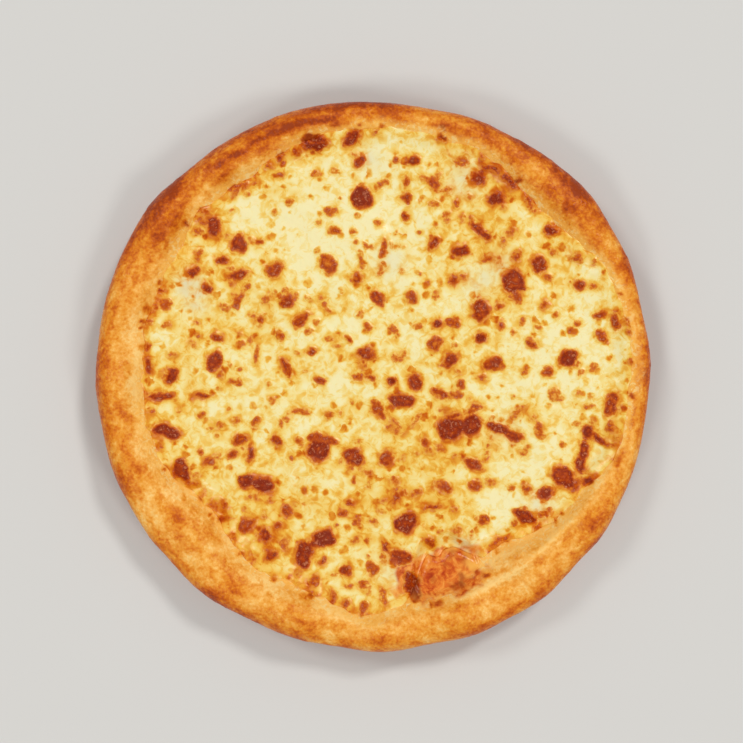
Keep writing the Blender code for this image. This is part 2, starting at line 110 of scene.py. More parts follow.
# Browned blisters: place, length, width in mm, turn in degrees, browning from 0 to 1
BLISTERS = (
    # upper left
    (-72.5, 67, 11, 6.5, 108, 0.9), (-60.5, 59.5, 9, 7, 90, 0.85), (-68.5, 52, 6.5, 4, 0, 0.85),
    (-81, 47, 6.5, 5.5, 0, 0.85), (-61, 45.5, 11, 4, 20, 0.85), (-45, 48, 8, 7, 0, 0.75),
    (-75, 40, 5, 4, -60, 0.85), (-42, 97.5, 4, 3.5, 0, 0.8), (-42, 90.5, 4.5, 3, 0, 0.7),
    (-47.5, 94, 3.5, 3, 0, 0.6), (-62, 84, 7, 2.5, 35, 0.6), (-52, 60, 3.5, 3, 0, 0.7),
    (-79, 54.5, 5.5, 2.5, 80, 0.6),
    # top
    (-26.5, 105, 11.5, 8, -10, 0.95), (-10, 106.5, 9, 5.5, 40, 0.9),
    (-6.5, 96.5, 7, 5, 60, 0.85), (10.5, 97, 4.5, 3, 0, 0.6), (18, 97, 5.5, 5, 0, 0.85),
    (-26, 90.5, 4, 3, 0, 0.6), (-5, 80.5, 11.5, 9, -50, 1), (4.5, 87.5, 4.5, 2.5, -20, 0.5),
    (14, 88, 5, 3, 90, 0.65), (15, 80, 4.5, 4.5, 0, 0.8), (15, 72, 5, 4, -70, 0.85),
    (-38, 79, 4, 4, 0, 0.5), (-19.5, 74, 7, 4, 0, 0.6), (-17.5, 65.5, 5, 3, 0, 0.65),
    (-9, 65, 3, 3, 0, 0.5), (2, 69, 3, 3, 0, 0.65), (4.5, 57.5, 9, 3.5, 90, 0.65),
    (-3.5, 58.5, 4.5, 3, 90, 0.5), (-5.5, 52, 7, 2.5, 105, 0.5), (-20.5, 50.5, 10, 7, -50, 0.7),
    (-8, 44, 6, 5.5, 0, 0.75), (3.5, 47.5, 4, 2, 60, 0.5),
    # upper right
    (27, 87.5, 6.5, 5, -60, 0.7), (32, 83.5, 8, 2.5, 15, 0.5), (27.5, 77, 5.5, 2.5, 0, 0.5),
    (37.5, 77.5, 4, 3.5, 0, 0.65), (34, 69.5, 3, 3, 0, 0.45), (27, 60, 7, 4.5, 50, 0.8),
    (39.5, 56.5, 7.5, 6.5, 0, 0.9), (36, 42.5, 4.5, 4, 0, 0.75), (40, 44, 2.5, 2.5, 0, 0.65),
    (39.5, 96.5, 6.5, 5.5, 0, 0.5), (47, 89, 6, 5.5, 0, 0.85), (55.5, 80, 8, 7, 0, 0.95),
    (53, 93.5, 10, 3, -20, 0.8), (61.5, 87.5, 10, 3.5, -50, 0.8), (70, 79, 6, 2.5, -50, 0.7),
    (48, 65.5, 12.5, 5, -40, 0.85),
    (62.5, 64, 4.5, 4, 0, 0.65), (71.5, 75, 5.5, 3, -45, 0.6), (80, 66, 7, 4, 0, 0.95),
    (51.5, 53, 4.5, 3.5, 0, 0.7), (65, 53.5, 5.5, 4, 60, 0.7), (75, 50, 9, 6, 105, 0.85),
    (79.5, 44.5, 4, 3, 0, 0.7), (63, 42.5, 11, 10, 0, 0.9), (65, 35, 7, 4, 95, 0.7),
    (92, 53, 5.5, 4, 70, 0.6), (93, 41, 5.5, 4.5, 0, 0.85), (99, 51, 2.5, 2.5, 0, 0.5),
    (99.5, 40.5, 3.5, 2.5, 0, 0.55),
    # left
    (-94.5, 32.5, 6, 5.5, 0, 0.6), (-102.5, 24.5, 4.5, 4, 0, 0.6), (-93, 22.5, 4, 3, 0, 0.6),
    (-67, 31, 4.5, 4.5, 0, 0.5), (-61, 34, 9, 5, 65, 0.65), (-48, 35, 4, 3.5, 0, 0.45),
    (-51.5, 25.5, 4.5, 3.5, 0, 0.7), (-56.5, 26.5, 2, 2, 0, 0.5), (-70.5, 17, 6, 5, 0, 0.75),
    (-79.5, 17.5, 3, 2.5, 0, 0.55), (-60, 14.5, 4, 2.5, 0, 0.55), (-102.5, 13, 4, 4, 0, 0.7),
    (-101.5, 4.5, 8, 4, 100, 0.8), (-91, 0, 8, 6, 45, 0.9), (-72, 6.5, 9, 6.5, 75, 0.9),
    (-52.5, 9.5, 9, 2.5, 80, 0.65), (-62, -2.5, 7.5, 4, -10, 0.6), (-60.5, 2.5, 3, 2, 0, 0.5),
    (-95.5, -9.5, 12, 4.5, 0, 0.85), (-76.5, -9, 9, 2.2, 0, 0.85), (-77.5, -17.5, 4, 4, 0, 0.6),
    (-93.5, -25, 12, 6.5, -25, 0.95), (-68.5, -23.5, 3, 3, 0, 0.5), (-74, -23.5, 3.5, 2, 0, 0.45),
    (-62, -20.5, 3.5, 2.5, 80, 0.5), (-52.5, -21, 5, 4, 60, 0.6), (-60.5, -29, 7, 5, 30, 0.75),
    (-55.5, -35, 8.5, 4, 85, 0.85), (-64, -35.5, 5, 4.5, 0, 0.75), (-44, -29.5, 7, 5, -35, 0.8),
    (-74.5, -39.5, 6, 4.5, 10, 0.7), (-78.5, -35, 3, 2.5, 0, 0.65),
    (-86.5, -43.5, 11.5, 7.5, -60, 0.9),
    # middle
    (-39, 33.5, 7.5, 6.5, 0, 0.8), (-32.5, 25.5, 10, 4.5, 35, 0.75), (-42.5, 18, 4, 4, 0, 0.65),
    (2, 35, 8, 6.5, -50, 0.8), (17.5, 35.5, 5, 5, 0, 0.7), (28, 36, 4, 3, 60, 0.5),
    (-5.5, 28, 4, 2.5, 0, 0.5), (-3, 21.5, 5, 3.5, -20, 0.65), (9, 21, 4.5, 4, 0, 0.6),
    (20, 22, 3.5, 3, 0, 0.5), (29, 23.5, 4.5, 4.5, 0, 1), (35.5, 23.5, 6, 5.5, 0, 0.7),
    (28, 14.5, 7, 6, 40, 0.7), (-11, 17, 4.5, 2.5, -20, 0.75), (-19.5, 17, 5.5, 2, 0, 0.45),
    (-28, 11, 4.5, 3.5, 40, 0.75), (-34.5, 10.5, 3.5, 2, 0, 0.45), (-3.5, 9.5, 9, 6.5, 0, 0.8),
    (11, 8, 5.5, 3.5, -40, 0.5), (34.5, 7, 7.5, 6.5, 60, 0.9), (-39.5, 3, 10.5, 4, -70, 0.8),
    (-24, -2.5, 5, 3.5, 0, 0.75), (-7, -0.5, 5.5, 4.5, 0, 0.6), (-1, -1.5, 5, 3.5, -15, 0.75),
    (8, -3, 5, 5, 0, 1), (19, -3, 8, 6, 100, 0.85), (13, -11.5, 12, 6.5, -5, 0.9),
    (40, -4, 4, 4, 0, 0.7), (30, -8.5, 9, 4.5, -35, 0.75), (37, -8, 7, 3.5, 0, 0.6),
    (2, -15, 10, 4.5, -65, 0.7), (19, -20, 9, 2, 45, 0.5), (10, -21.5, 7, 2, -45, 0.5),
    (-33, -16.5, 10, 3.5, -10, 0.5), (-20, -17.5, 4.5, 4, 0, 0.6), (34, -24.5, 12.5, 10, 0, 0.95),
    (44, -23, 9, 10, 0, 0.95), (45, -15.5, 9, 3.5, 25, 0.65), (23, -30.5, 5, 5, 0, 0.75),
    (30.5, -32.5, 3, 3, 0, 0.6), (-23, -29, 14, 6, -10, 0.75), (-25, -34, 10, 9, 0, 1),
    (-9.5, -36.5, 9.5, 9, 0, 0.85), (5.5, -37.5, 7.5, 6, 20, 0.75), (-2, -43.5, 4, 3, 0, 0.6),
    (45, -40, 9, 4.5, -30, 0.75), (38.8, -22.5, 7, 6, 0, 0.9), (36.5, -18.5, 6, 3.5, 20, 0.85),
    # right
    (48.5, 29, 10, 7.5, 95, 0.85), (57, 31, 4, 4, 0, 0.7), (57, 22.5, 5, 3.5, 95, 0.75),
    (48.5, 17, 5.5, 5, 0, 0.95), (77, 31.5, 5.5, 3.5, 65, 0.65), (81.5, 27.5, 3, 3, 0, 0.65),
    (67.5, 24.5, 4, 3, 100, 0.5), (64, 20.5, 3, 3, 0, 0.5), (71.5, 14.5, 6, 4.5, -25, 0.75),
    (88.5, 20.5, 3.5, 3.5, 0, 0.7), (92.5, 23, 3.5, 3, 0, 0.65), (54, 5.5, 8.5, 5.5, 0, 0.85),
    (88, 8, 10, 8, 15, 0.95), (50, -1.5, 4, 3.5, 0, 0.55), (79, 1.5, 5, 4.5, 0, 0.7),
    (68, 1.5, 2.7, 2.7, 0, 0.5), (82, -9, 7.5, 5.5, -30, 0.42), (99, 3.5, 4, 3.5, 0, 0.5),
    (94, 1.5, 2.7, 2.7, 0, 0.55), (92.5, -8.5, 2.7, 2.7, 0, 0.5), (97, -14, 4.5, 3, 0, 0.45),
    (102.5, 27.5, 5.5, 3.5, 0, 0.75), (109, 24, 9, 4, 100, 0.75), (103, 17.5, 7, 3.5, -50, 0.7),
    (107.5, -13, 11.5, 6, 75, 0.8), (107, -23.5, 5.5, 4, 80, 0.65), (96.5, -25.5, 6, 6, 0, 0.95),
    (102.5, -29, 8, 4, -35, 0.9), (94.5, -37, 15, 5.5, 80, 0.88), (110, -37.5, 9, 3.5, 75, 0.45),
    (65.5, -16.5, 8, 2.2, 42, 0.5), (56, -24, 11, 5.5, -15, 0.9), (63, -27, 10, 4.5, -20, 0.85),
    (75, -25, 7, 4, -60, 0.6), (72, -19, 2.7, 2.7, 0, 0.55), (68, -35, 4, 3, 0, 0.6),
    (51.5, -33, 10, 1.5, 80, 0.45), (85, -31, 2.7, 2.7, 0, 0.45),
    # lower left
    (-57.5, -47.5, 8, 6, 0, 0.95), (-49.5, -49.5, 12, 6.5, -15, 1), (-47.5, -56, 2.7, 2.7, 0, 0.6),
    (-68, -59, 5, 3.5, 20, 0.7), (-57.5, -67.5, 9, 6, 25, 0.7), (-48.5, -72.5, 6.5, 6, 0, 0.85),
    (-43, -68.5, 4, 3.5, 0, 0.7), (-47, -81, 6.5, 6, 0, 0.8), (-39, -61, 5.5, 5, 0, 0.7),
    (-40, -76, 5.5, 4.5, 90, 0.55), (-31.5, -81, 12.5, 8, 75, 0.95), (-22, -73.5, 9, 9, 0, 1),
    (-27.5, -76.5, 5.5, 3, 30, 0.8), (-23, -84, 4, 3, 30, 0.75), (-13, -88, 7, 5.5, -10, 0.85),
    (-26.5, -92.5, 6.5, 5, 80, 0.6), (-18.5, -99, 5, 3.5, 80, 0.65),
    (-31.5, -100, 3.5, 3.5, 0, 0.35),
    (-10, -57.5, 4.5, 4, 0, 0.75), (-14.5, -61.5, 4.5, 3.5, 0, 0.65), (-8, -66, 5, 4, 0, 0.6),
    (-9, -47.5, 3.5, 2.5, 80, 0.65), (-2.5, -49, 4.5, 2.5, 90, 0.45), (0, -66, 3, 3, 0, 0.5),
    (4, -61.5, 3.5, 2, 0, 0.5), (-8.5, -75, 4.5, 2.5, 0, 0.45), (-1.5, -74, 2.5, 2.5, 0, 0.45),
    # bottom
    (10, -55, 7, 4, 85, 0.75), (10, -48, 4, 3.5, 0, 0.5), (19, -53, 4.5, 4, 0, 0.6),
    (31.5, -50.5, 8, 4.5, -35, 0.7), (26.5, -59.5, 8, 2.2, 5, 0.75), (36.5, -60.5, 3.5, 2, 0, 0.5),
    (14.5, -66.5, 11.5, 9, 20, 0.95), (25.5, -75, 6.5, 3.5, -30, 0.75), (37.5, -70, 4, 3, 25, 0.6),
    (5.5, -78, 7, 2.5, -55, 0.85), (12.5, -82, 10, 6, -10, 0.85), (-0.5, -87.5, 6.5, 6, 100, 0.65),
    (-11, -95, 4, 3, 0, 0.5), (-4.5, -94.5, 4.5, 4.5, 0, 0.6), (4.5, -100, 10, 3.5, 95, 0.5),
    (-5, -105.5, 6.5, 4, 85, 0.6), (17.5, -95.5, 14, 7.5, 100, 0.88), (46, -50, 6, 5.5, 0, 0.7),
    (53, -48, 3.5, 3, 0, 0.5), (62.5, -50.5, 3, 3, 0, 0.5), (49.5, -65.5, 5.5, 5, 0, 0.7),
    (44.5, -71, 3.5, 2, 80, 0.4), (70.5, -52, 4, 3.5, 0, 0.65), (78, -53, 8, 6, 20, 0.9),
    (85.5, -46, 12.5, 9, -40, 0.9), (97, -47, 6, 5, 0, 1), (68, -64, 12.5, 6, -20, 0.92),
    (77.5, -62.5, 6.5, 4, 30, 0.6), (82.5, -66, 3.5, 2, 80, 0.55),
    (57.5, -75.5, 11.5, 3.5, 20, 0.6),
    (63, -83.5, 3, 3, 0, 0.5), (51.5, -91, 3.5, 2, 0, 0.55), (91, -50, 7, 3.5, 60, 0.7),
)
# Round each blister: how far it acts, how far its oil spreads, its dome's height as a share of its
# width and at most, and the depth of its moat as a share of that height
BLISTER_REACH = 8.0
OIL_FADE = 3.0
DOME_SHARE = 0.2
DOME_MOST = 1.6
MOAT_SHARE = 0.12

# Seeded specks all over the cheese, and in a band along its edge: number, where, sizes in mm and
# browning
SPECKS = 190
SPECK_RADIUS = 104.0
SPECK_SIZE = (1.8, 4.0)
SPECK_BROWNING = (0.34, 0.6)
SPECK_SEED = 21
EDGE_SPECKS = 70
EDGE_SPECK_BAND = (-4.0, 2.0)
EDGE_SPECK_SIZE = (1.8, 3.6)
EDGE_SPECK_BROWNING = (0.5, 0.8)

# How far the cheese melted onto the rim, and where it ran further: (bearing, mm, spread)
MELT_REACH = 5.0
MELT_BULGES = ((-45, 7.0, 14), (-95, 3.0, 10))

# A fold that the dough kept on the lower right of the rim: (bearing, radius mm)
FOLD = ((-80.0, 106.0), (-74.0, 106.4), (-58.0, 108.0), (-40.0, 108.7), (-27.0, 113.0))
FOLD_FADE = 15.0
RIDGE_HEIGHT = 0.7
FURROW_DEPTH = 0.45

# Soft patches of colour: place in mm, reach in mm, strength
OILY_PATCHES = (
    (21, -51, 26, 0.3), (-49, -67, 22, 0.32), (61, 55, 22, 0.22), (-76, 45, 22, 0.15),
    (-20, -100, 14, 0.15), (-90, -10, 16, 0.12), (-27, 100, 16, 0.2), (50, 88, 14, 0.3),
)
CREAMY_PATCHES = (
    (-6, 74, 27, 0.3), (88, 12, 22, 0.3), (57, -60, 12, 0.25), (-33, 62, 20, 0.25),
    (8, 25, 20, 0.12), (-62, -8, 16, 0.12), (70, -40, 14, 0.18), (-15, 5, 16, 0.1),
)
THIN_PATCHES = (
    (-84, 41, 6, 0.7), (-80, 34, 5, 0.7), (7.5, 52, 7, 0.5), (-1.5, 97, 6, 0.5),
    (59, -24.5, 7, 0.4), (9.5, -87.5, 7, 0.4), (75, -58, 7, 0.6), (41, 88, 7, 0.6),
    (41, -79, 6, 0.6), (47, 42, 7, 0.45), (58, 49, 6, 0.5),
)

# Where the sauce shows or shines through: centre, half length, half width in mm, turn in degrees
SAUCY_PLACE = (29.0, -89.5, 21.0, 11.0, 20.0)

# How deep each region of the crust baked, from 0, pale, to 1, red-brown
TOP_BAKE = 0.52
SHOULDER_BAKE = 0.2
# The inner slope's paling is partly paler bread by the toppings and partly painted light that lifts
# the slope's shade
INNER_BAKE_AND_PAINTED_LIGHT = -0.3
SIDE_BAKE = 0.82
UNDER_BAKE = 0.75

# Streaks that baked darker, along the rim: bearings from and to, radius, reach in mm, strength
CRUST_STREAKS = (
    (100, 129, 117.3, 1.7, 0.42), (84, 104, 122.5, 2.2, 0.22), (134, 154, 123.5, 3.2, 0.24),
    (38, 62, 124.0, 3.2, 0.16), (-128, -115, 125.0, 2.0, 0.3), (-64, -38, 121.5, 3.5, 0.04),
    (-62, -46, 104.6, 1.2, 0.25), (-27, -10, 118.0, 1.4, 0.1), (72, 84, 117.0, 1.6, 0.14),
    (142, 156, 114.0, 2.4, 0.14), (158, 176, 120.5, 1.8, 0.12), (-112, -96, 116.0, 2.2, 0.04),
)
CRUST_DARK_PATCHES = (
    (80, 86, 26, 0.18), (97, 74, 15, 0.06), (97, -69, 9, 0.1), (81.5, -80, 9, 0.06),
    (96, -56, 8, 0.06), (-71, -97, 14, 0.18), (-89, -64, 3, 0.35), (-12, 121, 18, 0.14),
    (-45, 108, 14, 0.12), (-92, 80, 20, 0.16), (121, -2, 10, 0.12),
)
CRUST_PALE_PATCHES_AND_PAINTED_LIGHT = (
    (-102.6, -65, 12, 0.25), (-76, -87, 12, 0.3), (-112, 0, 26, 0.12), (70, -90, 26, 0.25),
    (-87, -50, 22, 0.08), (105, -45, 20, 0.24), (20, 115, 16, 0.06), (-10, -116, 26, 0.16),
    (-50, -96, 14, 0.2), (-115, 31, 15, 0.2), (110, 55, 10, 0.1), (32, -114, 16, 0.14),
    # The last two, on the inner slope of the lower right, are partly paler bread and partly painted
    # light that lifts the slope's shade
    (106, -30, 9, 0.24), (64, -82, 10, 0.14), (80, -67, 9, 0.12),
)

# Finishes: a range that eases in and out, the strength of each finer layer of a noise, and the
# brown that blisters leave on what lies under them
SOFT_ENDS = {"interpolation_type": "SMOOTHSTEP"}
NOISE_GRIT = 0.6
CHAR_COLOUR = "8E2E0A"

# Studio. Far soft lights: bearing, strength, how many degrees broad each looks from the pizza
LIGHTS = ((52, 1.02, 10), (142, 0.62, 14), (232, 0.58, 14), (322, 0.62, 14))
LIGHT_RISE = 1.15
LIGHT_COLOUR = (1.0, 0.985, 0.96)
SURROUNDINGS = 0.36
FLOOR_SIZE = 40000.0
FLOOR_GAP = 0.2

# What the picture takes in at the height of the rim, in mm
PICTURE_WIDTH = 333.6
PICTURE_MIDDLE = (-0.9, 1.8)
RIM_HEIGHT = 25.0


def to_xy(radii, bearings):
    """Places x, y of these radii at these bearings."""
    return radii * np.cos(np.radians(bearings)), radii * np.sin(np.radians(bearings))


def angle_past(bearings, middle):
    """Angle in degrees from a middle bearing, the short way round, positive anticlockwise."""
    return (bearings - middle + 180.0) % 360.0 - 180.0


def along_and_across(x, y, centre_x, centre_y, turn):
    """Distances from a centre, along and across a line turned by this many degrees."""
    away_x, away_y = x - centre_x, y - centre_y
    cosine, sine = math.cos(math.radians(turn)), math.sin(math.radians(turn))
    return away_x * cosine + away_y * sine, away_y * cosine - away_x * sine


def bulges(bearings, table):
    """Sum of bell curves round the pizza, one for each (bearing, height, spread)."""
    total = np.zeros_like(bearings)
    for bearing, height, spread in table:
        total += height * np.exp(-((angle_past(bearings, bearing) / spread) ** 2))
    return total


def patches(x, y, table):
    """Sum of round bell-shaped patches, one for each (x, y, reach, strength)."""
    total = np.zeros_like(x)
    for centre_x, centre_y, reach, strength in table:
        total += strength * np.exp(-(((x - centre_x) ** 2 + (y - centre_y) ** 2) / reach**2))
    return total


def smooth_step(value):
    """0 below 0, 1 above 1, and an even S between them."""
    value = np.clip(value, 0.0, 1.0)
    return value * value * (3.0 - 2.0 * value)


def ripple(x, y, spacing, seed):
    """Uneven ground of unit depth: seven straight cosine waves of about one spacing, seeded."""
    waves = 7
    draw = random.Random(seed)
    total = np.zeros_like(x)
    for _ in range(waves):
        turn = draw.uniform(0.0, math.tau)
        length = spacing * draw.uniform(0.75, 1.35)
        along = x * math.cos(turn) + y * math.sin(turn)
        total += np.cos(math.tau * along / length + draw.uniform(0.0, math.tau))
    return total / math.sqrt(waves / 2.0)


def cloud(x, y, spacing, seed, cells_round=0):
    """Smooth seeded noise, about -1 to 1, whose bumps are about one spacing apart.

    Each corner of a square lattice has a random direction. A point takes the dot product of its
    offset from each of its four corners with that corner's direction, and a smooth fade blends
    the four. With cells_round, the lattice closes on itself after that many cells along x.
    """
    lattice = 256
    turns = np.random.default_rng(seed).uniform(0.0, math.tau, (lattice, lattice))
    x, y = x / spacing, y / spacing
    left, low = np.floor(x).astype(int), np.floor(y).astype(int)
    across, up = x - left, y - low
    fade_x = across**3 * (across * (6.0 * across - 15.0) + 10.0)
    fade_y = up**3 * (up * (6.0 * up - 15.0) + 10.0)
    total = np.zeros_like(across)
    for i, share_x in ((0, 1.0 - fade_x), (1, fade_x)):
        for j, share_y in ((0, 1.0 - fade_y), (1, fade_y)):
            column = (left + i) % (cells_round or lattice) % lattice
            turn = turns[column, (low + j) % lattice]
            total += share_x * share_y * (np.cos(turn) * (across - i) + np.sin(turn) * (up - j))
    return 1.5 * total


def layered_cloud(x, y, spacing, seed, layers=3, cells_round=0):
    """Clouds at one spacing, half of it, a quarter and so on, each half as deep."""
    total = np.zeros_like(x)
    for layer in range(layers):
        scale = 2**layer
        total += cloud(x, y, spacing / scale, seed + layer, cells_round * scale) / scale
    return total


def crust_outline(bearings):
    """Rim, toppings' edge, foot of the slope and crest: radii at each bearing, and crest height."""
    rim = RIM_RADIUS + bulges(bearings, RIM_BULGES)
    topping = TOPPING_RADIUS + bulges(bearings, TOPPING_BULGES)
    width = rim - topping
    slope_start = topping - (SLOPE_REACH - SLOPE_REACH_SHARE * width)
    crest = rim - (CREST_INSET + CREST_INSET_SHARE * width)
    share = smooth_step((width - RIM_NARROW) / (RIM_WIDE - RIM_NARROW))
    height = CREST_HEIGHT_NARROW + (CREST_HEIGHT_WIDE - CREST_HEIGHT_NARROW) * share
    return rim, topping, slope_start, crest, height


def bay_share(bearings):
    """1 inside the bay where the sauce shows, 0 outside it."""
    return np.exp(-((angle_past(bearings, BAY_BEARING) / BAY_SPREAD) ** 4))


def cheese_end(bearings):
    """Radius of the cheese's edge, with the small scallops of melted shreds."""
    topping = crust_outline(bearings)[1]
    x, y = to_xy(TOPPING_RADIUS, bearings)
    ragged = 1.0 + 0.6 * bay_share(bearings)
    scallops = 1.3 * cloud(x, y, 13.0, seed=31) + 0.9 * cloud(x, y, 5.5, seed=32)
    return topping - BAY_DEPTH * bay_share(bearings) + ragged * scallops


def cheese_lip(bearings):
    """Height of the cheese's rounded edge, which is thicker along the bay."""
    return CHEESE_LIP + (BAY_LIP - CHEESE_LIP) * bay_share(bearings)


def slope_height(x, y):
    """Height of the bread under the toppings: a level bed, then half a cosine up to the crest."""
    bearings = np.degrees(np.arctan2(y, x))
    _, _, slope_start, crest, crest_height = crust_outline(bearings)
    share = np.clip((np.hypot(x, y) - slope_start) / (crest - slope_start), 0.0, 1.0)
    return BED_HEIGHT + (crest_height - BED_HEIGHT) * (0.5 - 0.5 * np.cos(math.pi * share))


def crust_section(bearings):
    """Radii, heights and bareness of the crust's section, one row for each ring.

    From the centre of the bed: level, half a cosine wave up the slope, a quarter ellipse over
    the shoulder, the drafted side with a slight belly, a quarter ellipse round the foot, and the
    flat underside back to the centre. Bareness is 0 under the toppings and 1 on the open rim.
    """
    rim, topping, slope_start, crest, crest_height = crust_outline(bearings)
    level = np.ones_like(bearings)
    inner_shares = np.linspace(INNERMOST, 1.0 - INNERMOST, BED_RINGS)
    rings = [(share * slope_start, BED_HEIGHT * level) for share in inner_shares]
    for share in np.linspace(0.0, 1.0, SLOPE_RINGS):
        radii = slope_start + share * (crest - slope_start)
        rise = (crest_height - BED_HEIGHT) * (0.5 - 0.5 * math.cos(math.pi * share))
        bare = smooth_step((radii - topping) / (crest - topping))
        ridge = bulges(bearings, INNER_RIDGE) * 4.0 * bare * (1.0 - bare)
        rings.append((radii, BED_HEIGHT + rise + ridge))
    for angle in np.linspace(0.0, 0.5 * math.pi, SHOULDER_RINGS)[1:]:
        radii = crest + (rim - crest) * math.sin(angle)
        drop = (crest_height - WIDEST_HEIGHT) * (1.0 - math.cos(angle))
        rings.append((radii, crest_height - drop))
    for share in np.linspace(0.0, 1.0, SIDE_RINGS)[1:-1]:
        height = WIDEST_HEIGHT + share * (FOOT_ROUND - WIDEST_HEIGHT)
        rings.append((rim - SIDE_DRAFT * share**1.3, height * level))
    foot = rim - SIDE_DRAFT
    for angle in np.linspace(0.0, 0.5 * math.pi, FOOT_RINGS):
        height = FOOT_ROUND * (1.0 - math.sin(angle))
        rings.append((foot - FOOT_ROUND * (1.0 - math.cos(angle)), height * level))
    for share in np.linspace(1.0, INNERMOST, UNDER_RINGS)[1:]:
        rings.append((share * (foot - FOOT_ROUND), 0.0 * level))
    radii, heights = (np.array(values) for values in zip(*rings))
    bareness = smooth_step((radii - topping) / 8.0) * smooth_step(heights / 4.0)
    return radii, heights, bareness


def fold_shares(radii, bearings):
    """The fold in the rim: a narrow bell along its line, and a wider one just outside it."""
    bearings = angle_past(bearings, 0.0)
    fold_bearings, fold_radii = zip(*FOLD)
    line = np.interp(bearings, fold_bearings, fold_radii)
    inside = smooth_step((bearings - fold_bearings[0]) / FOLD_FADE)
    inside = inside * smooth_step((fold_bearings[-1] - bearings) / FOLD_FADE)
    ridge = inside * np.exp(-(((radii - line) / 1.4) ** 2))
    furrow = inside * np.exp(-(((radii - line - 3.6) / 2.2) ** 2))
    return ridge, furrow


def crust_relief(radii, heights, bareness, bearings):
    """Millimetres that the baked skin stands out, along its own normal.

    Wide lumps, doughy swellings about 12 mm apart, wrinkles about 4 mm apart, a grain of 2 mm,
    scattered bubbles under the skin where a noise of 6 mm rises above a threshold, and the fold
    with its furrow.
    """
    x, y = to_xy(radii, bearings)
    circumference = math.tau * RIM_RADIUS
    round_the_rim = np.broadcast_to(np.radians(bearings) * RIM_RADIUS, x.shape)
    steps = np.hypot(np.diff(radii, axis=0, prepend=radii[:1]),
                     np.diff(heights, axis=0, prepend=heights[:1]))
    section = np.cumsum(steps, axis=0)
    relief = LUMP_HEIGHT * ripple(x, y, LUMP_SPACING, seed=3)
    for height, cells, seed in SWELLINGS_WRINKLES_GRAIN:
        relief += height * cloud(round_the_rim, section, circumference / cells, seed, cells)
    height, cells, seed = BUBBLES
    blown = cloud(round_the_rim, section, circumference / cells, seed, cells)
    relief += height * smooth_step((blown - 0.42) / 0.3)
    ridge, furrow = fold_shares(radii, bearings)
    fold = RIDGE_HEIGHT * ridge - FURROW_DEPTH * furrow
    return bareness * (relief + np.where(heights > WIDEST_HEIGHT, fold, 0.0))


def crust_shape():
    """Points of the crust's rings, and what its finish needs to know at each of them.

    The section, moved out along its own normal by the relief: half of it sideways, so that the
    outline stays near the solid's, and all of it upwards. The underside has shallow pits, but is
    left flat near the centre and along the foot.
    """
    bearings = np.arange(CRUST_STATIONS) * 360.0 / CRUST_STATIONS
    radii, heights, bareness = crust_section(bearings)
    run, rise = np.gradient(radii, axis=0), np.gradient(heights, axis=0)
    length = np.maximum(np.hypot(run, rise), 1e-6)
    relief = crust_relief(radii, heights, bareness, bearings)
    radii = radii - 0.5 * relief * rise / length
    heights = np.maximum(heights + relief * run / length, 0.0)
    x, y = to_xy(radii, bearings)
    from_centre = np.hypot(x, y)
    pits = 0.25 * smooth_step((layered_cloud(x, y, 7.0, seed=51) - 0.1) / 0.4)
    pits = pits * smooth_step((from_centre - 12.0) / 4.0) * smooth_step((112.0 - from_centre) / 4.0)
    return x, y, np.where(heights < 0.01, pits, heights), relief, bearings


def scorching(x, y):
    """Browning that the blisters leave on whatever lies under them, fading out past their edge."""
    way_out, strengths, _, _ = blister_fields(x, y)
    return strengths * smooth_step(0.5 - 0.5 * way_out)


def streaks(x, y, bearings):
    """Browning of the streaks along the rim: a bell across each line, frayed and broken up."""
    fraying = 1.8 * cloud(x, y, 12.0, seed=69) + 0.9 * cloud(x, y, 4.0, seed=70)
    broken = 1.0 + 0.9 * cloud(x, y, 4.5, seed=63)
    total = np.zeros_like(x)
    for start, end, line, reach, strength in CRUST_STREAKS:
        away = np.abs(angle_past(bearings, 0.5 * (start + end)))
        along = 1.0 - smooth_step((away - 0.5 * (end - start) + 4.0) / 8.0)
        across = np.exp(-(((np.hypot(x, y) - line + fraying) / reach) ** 2))
        total += strength * along * broken * across
    return total


